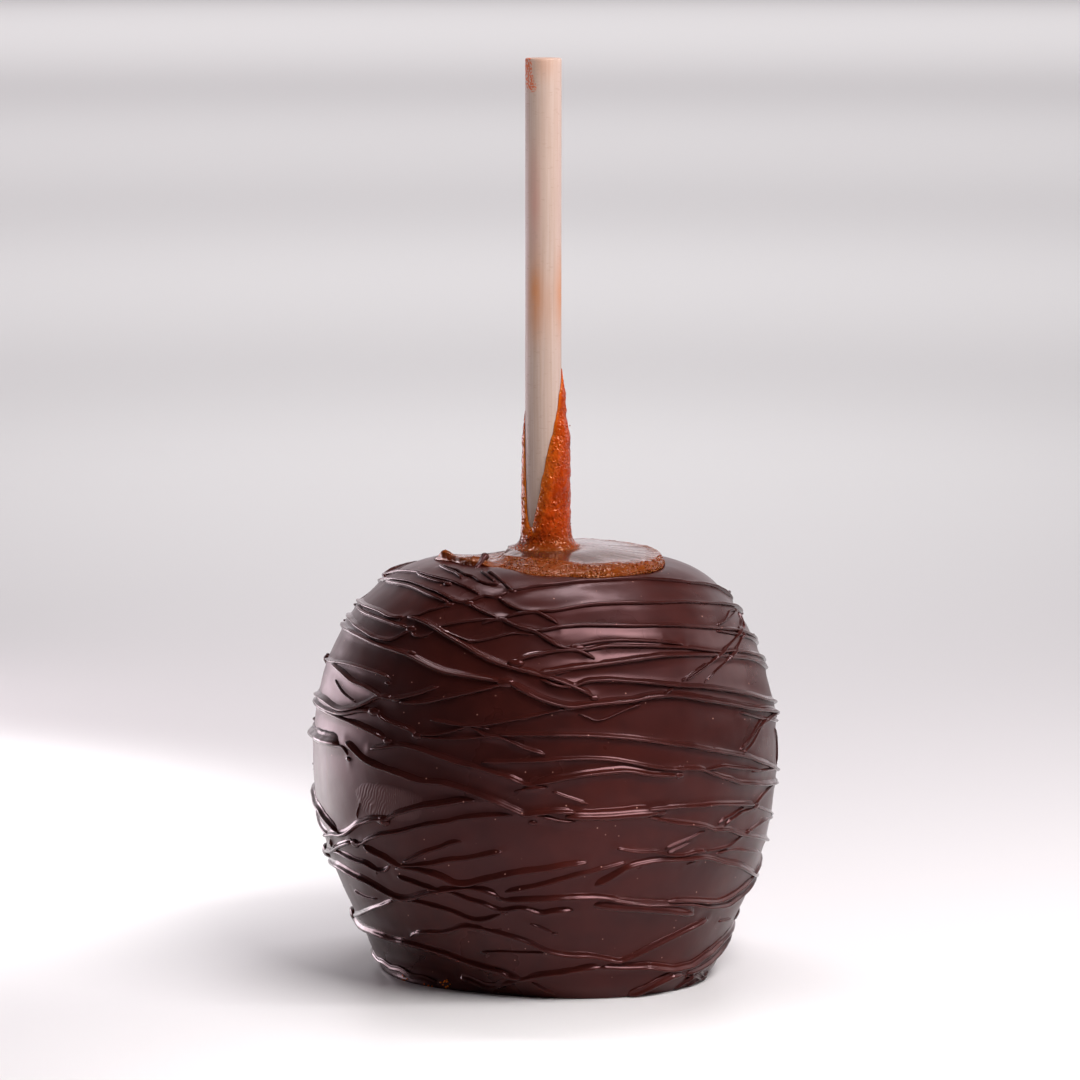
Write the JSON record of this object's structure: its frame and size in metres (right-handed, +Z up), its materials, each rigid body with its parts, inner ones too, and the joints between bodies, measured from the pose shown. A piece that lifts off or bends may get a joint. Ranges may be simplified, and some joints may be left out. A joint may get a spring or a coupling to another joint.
{
  "type": "dark chocolate caramel apple on a stick",
  "caption": "Apple-shaped sweet coated in drizzled dark chocolate, with a caramel pool on top that runs up the round wooden stick it is held by.",
  "frame": {"origin": "middle of the flat foot the apple stands on", "axes": "+Z up along the stick, -Y the front of the apple as pictured, +X its right side"},
  "size_m": [0.0828, 0.0831, 0.1616],
  "materials": {
    "stick": "matte",
    "caramel": "gloss",
    "chocolate_coat": "satin"
  },
  "bodies": {
    "root": {"stick": "stick", "caramel": "caramel", "chocolate_coat": "chocolate_coat"}
  },
  "joints": []
}
